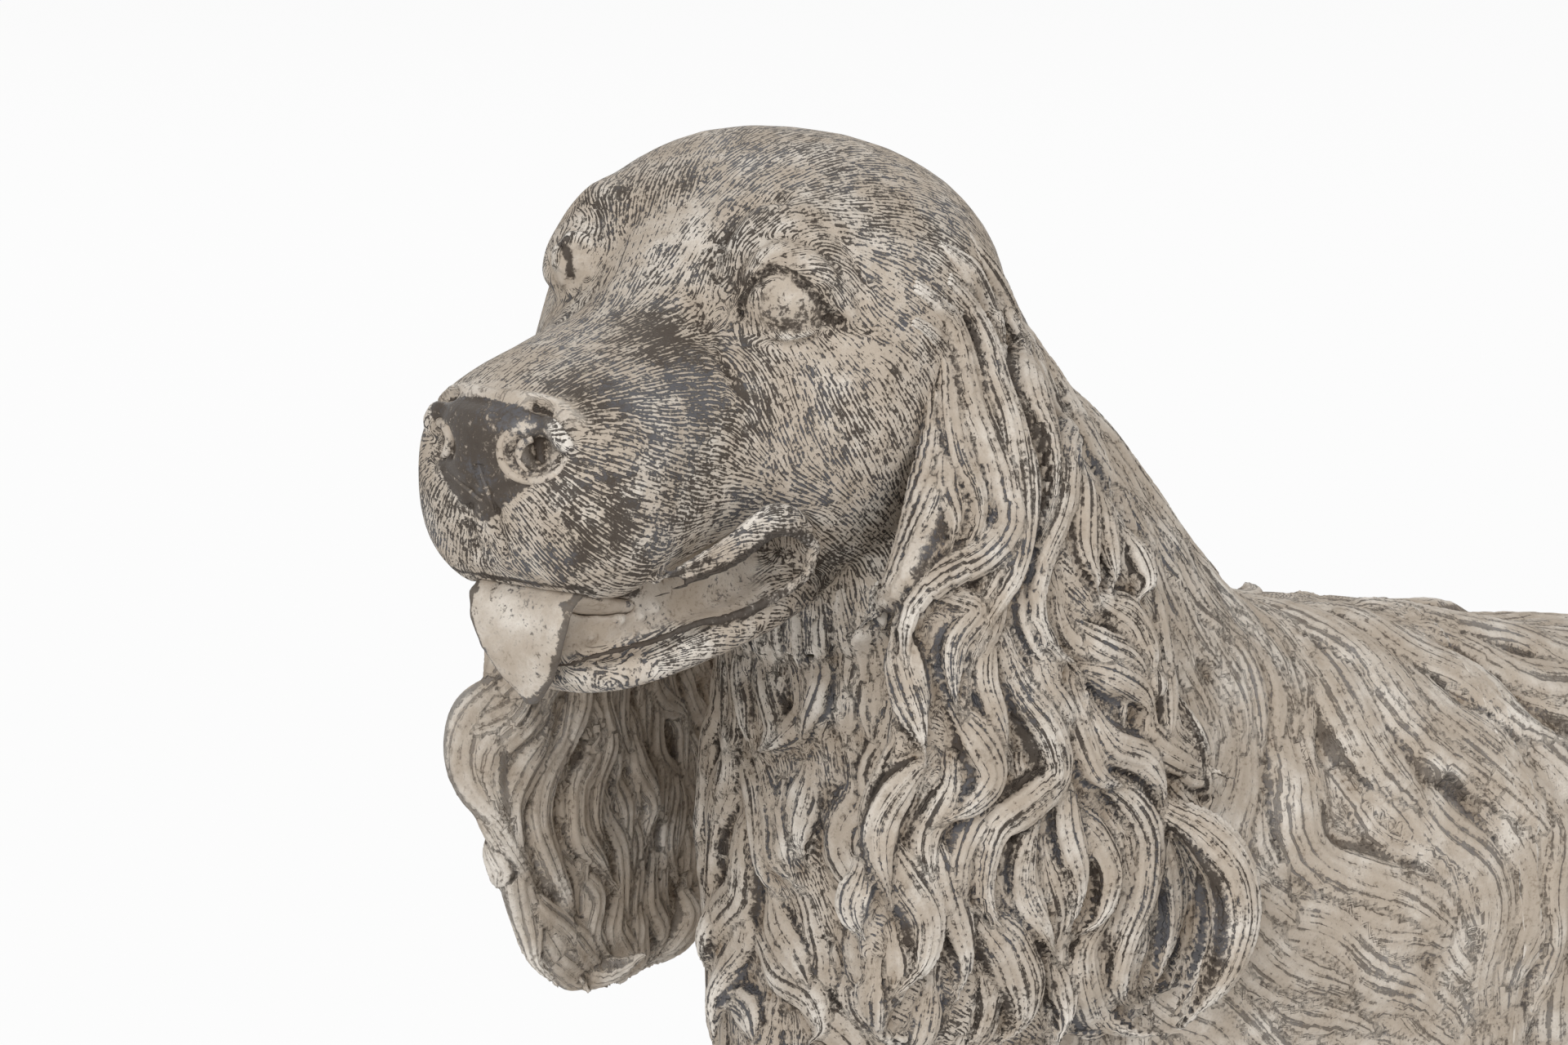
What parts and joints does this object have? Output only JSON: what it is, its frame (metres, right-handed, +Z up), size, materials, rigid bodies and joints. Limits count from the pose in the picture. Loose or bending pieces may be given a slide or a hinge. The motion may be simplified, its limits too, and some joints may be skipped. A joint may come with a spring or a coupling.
{
  "type": "resin dog figurine",
  "caption": "Standing spaniel figurine in cast resin with long wavy ears, an open mouth and a hanging tongue, in a worn cream wash over dark grey, on felt pads.",
  "frame": {"origin": "on the floor under the felt pads, at the middle of the part's outline seen from above", "axes": "+X from the nose towards the tail, +Y to the dog's right, +Z up"},
  "size_m": [0.2987, 0.11, 0.264],
  "materials": {
    "resin": "matte cast resin, cream wash rubbed over a dark grey undercoat",
    "steel": "plain drawn rod",
    "felt": "pressed felt"
  },
  "bodies": {
    "root": {"trunk_casting": "resin", "head_casting": "resin", "tongue": "resin", "left_ear": "resin", "right_ear": "resin", "front_left_leg": "resin", "front_right_leg": "resin", "rear_left_leg": "resin", "rear_right_leg": "resin", "tail": "resin", "neck_dowel": "steel", "ear_pegs": "steel", "tail_peg": "steel", "front_left_rod": "steel", "front_right_rod": "steel", "rear_left_rod": "steel", "rear_right_rod": "steel", "front_left_pad": "felt", "front_right_pad": "felt", "rear_left_pad": "felt", "rear_right_pad": "felt"}
  },
  "joints": []
}
